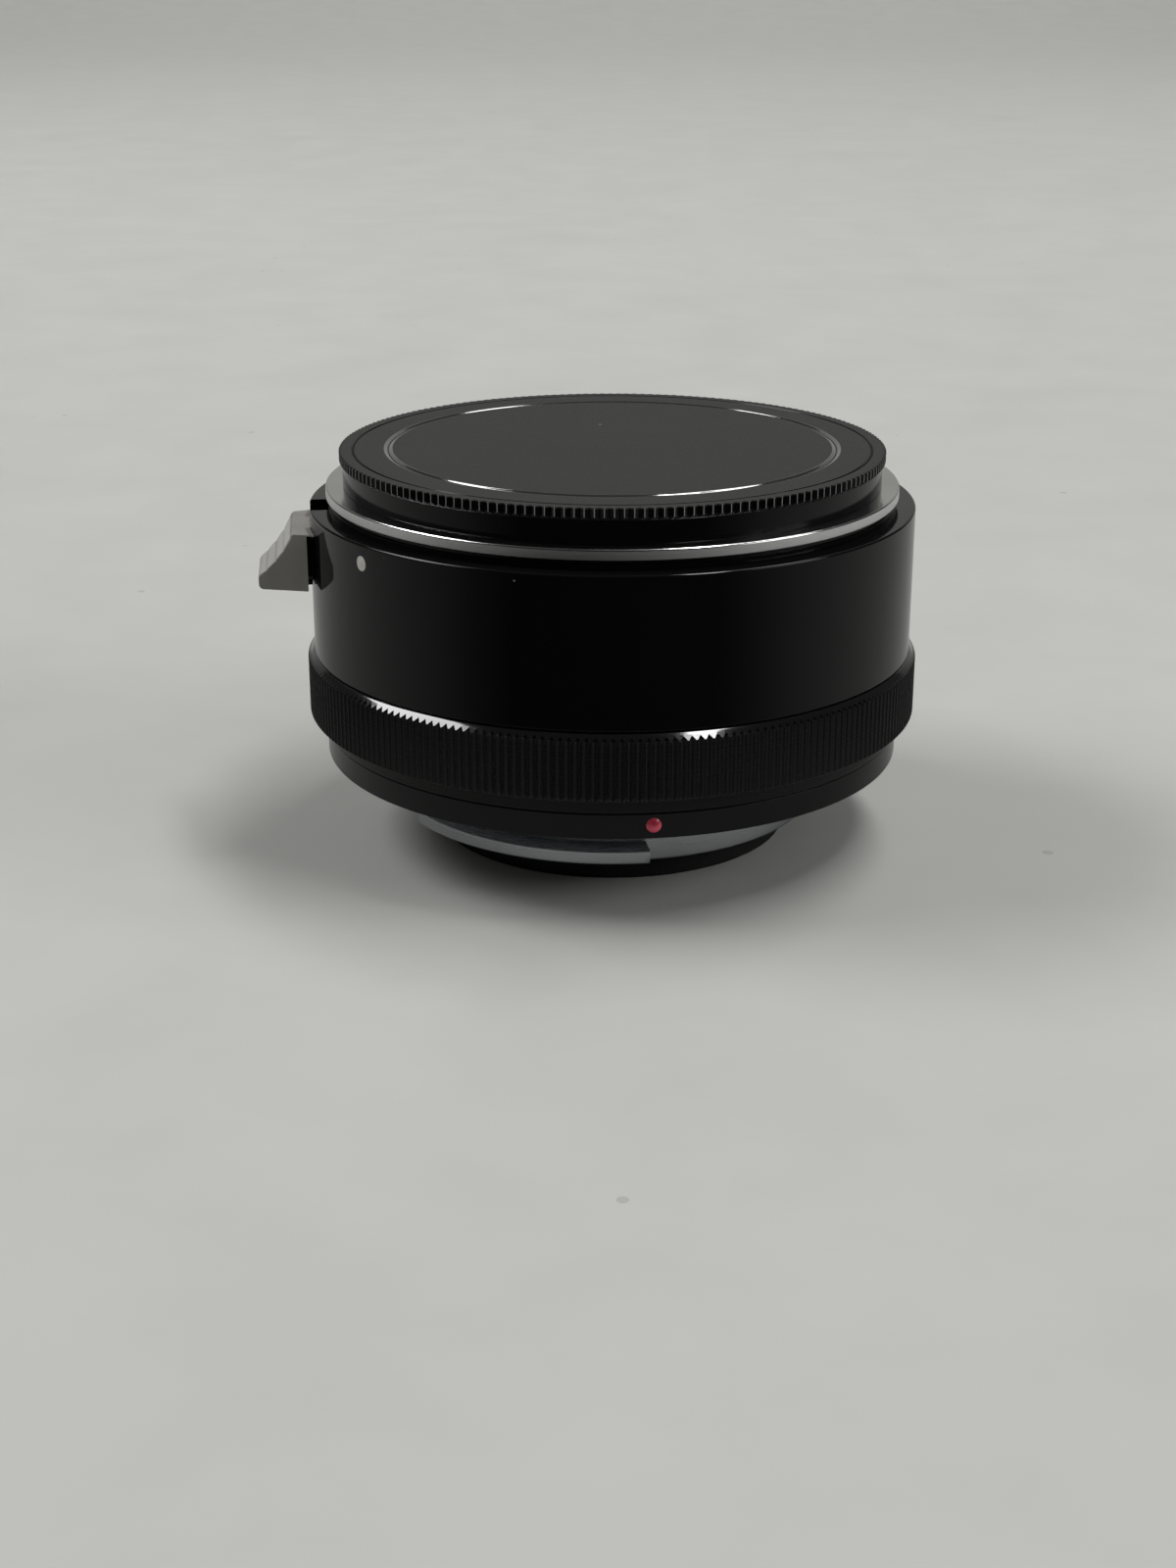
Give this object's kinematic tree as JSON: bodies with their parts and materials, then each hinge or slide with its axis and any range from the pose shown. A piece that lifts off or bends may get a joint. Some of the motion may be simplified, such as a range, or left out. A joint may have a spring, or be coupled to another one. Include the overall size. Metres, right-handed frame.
{
  "type": "macro extension tube",
  "caption": "Short black camera extension tube with a ribbed grip ring, bayonet mounts at both ends, a side release lever and a fitted cap.",
  "frame": {"origin": "centre of the seat that meets the camera, on the optical axis", "axes": "+Z along the optical axis towards the lens; the release lever points to -X, 6.5 degrees round towards -Y"},
  "size_m": [0.0716, 0.0666, 0.0422],
  "materials": {
    "barrel_black": "glossy black enamel on aluminium",
    "ring_black": "satin black anodised",
    "inner_black": "flat black",
    "mount_chrome": "satin chrome on brass",
    "screw_steel": "bright turned",
    "black_steel": "blackened steel",
    "spring_steel": "spring steel",
    "coupling_brass": "blackened brass",
    "lever_grey": "satin anodised",
    "white_paint": "paint fill",
    "red_paint": "glossy bead",
    "cap_black": "fine satin moulding"
  },
  "bodies": {
    "barrel": {"outer_barrel": "barrel_black", "grip_ring": "barrel_black", "rear_seat_ring": "ring_black", "rear_bayonet": "mount_chrome", "rear_bayonet_screws": "screw_steel", "rear_light_baffle": "inner_black", "inner_tube": "inner_black", "inner_tube_screws": "black_steel", "coupling_clip": "black_steel", "spring_anchor_post": "black_steel", "front_flange": "mount_chrome", "front_flange_screws": "screw_steel", "front_spacer_ring": "ring_black", "mount_spring_ring": "spring_steel", "white_index_dot": "white_paint", "red_index_bead": "red_paint", "lever_guide_rods": "screw_steel", "lever_return_springs": "spring_steel", "coupling_return_spring": "spring_steel"},
    "release": {"release_lever": "lever_grey", "lever_slide_plate": "black_steel", "lever_carrier": "black_steel", "lever_screws": "black_steel", "lock_pin": "screw_steel"},
    "coupling": {"coupling_ring": "coupling_brass", "front_diaphragm_arm": "black_steel", "rear_diaphragm_arm": "black_steel", "coupling_rivets": "screw_steel", "coupling_ring_post": "screw_steel"},
    "cap": {"front_cap": "cap_black", "cap_disc": "cap_black"}
  },
  "joints": [
    {"name": "release_slide", "type": "slide", "parent": "barrel", "child": "release", "axis": [0, 0, -1], "range_m": [0, 0.0025], "stiffness_N_per_m": 400, "springref_m": -0.002, "deforming": ["lever_return_springs"]},
    {"name": "coupling_turn", "type": "hinge", "parent": "barrel", "child": "coupling", "pos_m": [0, 0, 0.005], "axis": [0, 0, 1], "range_deg": [0, 18], "stiffness_Nm_per_rad": 0.05, "springref_deg": -17.19, "deforming": ["coupling_return_spring"]},
    {"name": "cap_lift", "type": "slide", "parent": "barrel", "child": "cap", "axis": [0, 0, 1], "range_m": [0, 0.014]}
  ]
}
